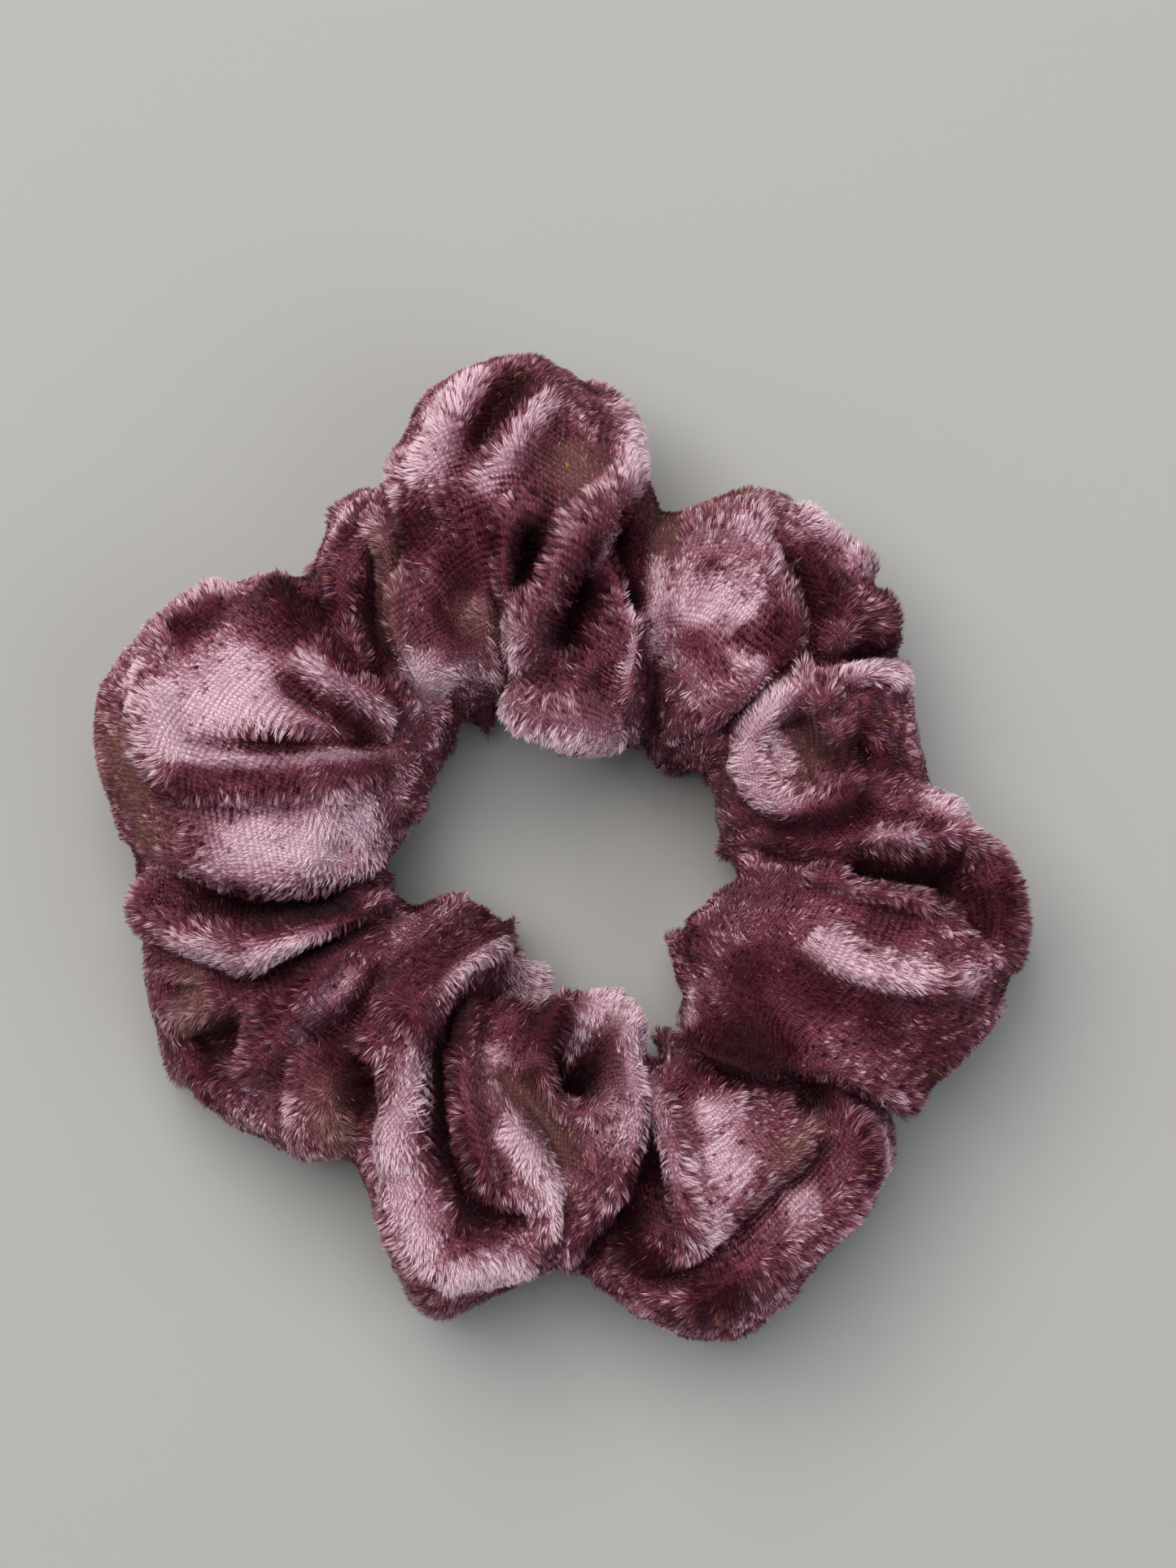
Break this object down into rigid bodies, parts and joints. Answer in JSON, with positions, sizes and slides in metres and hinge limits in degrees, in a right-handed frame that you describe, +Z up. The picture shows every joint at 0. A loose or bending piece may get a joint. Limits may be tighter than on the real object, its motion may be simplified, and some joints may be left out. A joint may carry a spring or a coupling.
{
  "type": "hair scrunchie",
  "caption": "Velvet hair scrunchie: a tube of gathered stretch velvet over a flat elastic loop, which pulls open round a ponytail or bun and springs back.",
  "frame": {"origin": "on the table under the middle of the scrunchie's outer box", "axes": "+Z up out of the table, along the hair hole; +Y along the longer side of the outer box; +X the way the right half moves when the loop is pulled open"},
  "size_m": [0.1106, 0.1172, 0.0341],
  "materials": {
    "velvet": "crushed stretch velvet with a 2 mm pile, dusty mauve",
    "elastic": "flat braided elastic, off-white",
    "thread": "polyester sewing thread, matching"
  },
  "bodies": {
    "left_half": {"velvet_cover_left": "velvet", "elastic_left": "elastic", "long_seam_needle_thread_left": "thread", "long_seam_bobbin_thread_left": "thread"},
    "right_half": {"velvet_cover_right_upper": "velvet", "velvet_cover_right_lower": "velvet", "elastic_right_upper": "elastic", "elastic_right_lower": "elastic", "elastic_tack_thread": "thread", "long_seam_needle_thread_right_upper": "thread", "long_seam_needle_thread_right_lower": "thread", "long_seam_bobbin_thread_right_upper": "thread", "long_seam_bobbin_thread_right_lower": "thread", "closing_seam_needle_thread": "thread", "closing_seam_bobbin_thread": "thread"}
  },
  "joints": [
    {"name": "stretch", "type": "slide", "parent": "left_half", "child": "right_half", "axis": [1, 0, 0], "range_m": [0, 0.06], "stiffness_N_per_m": 80}
  ]
}
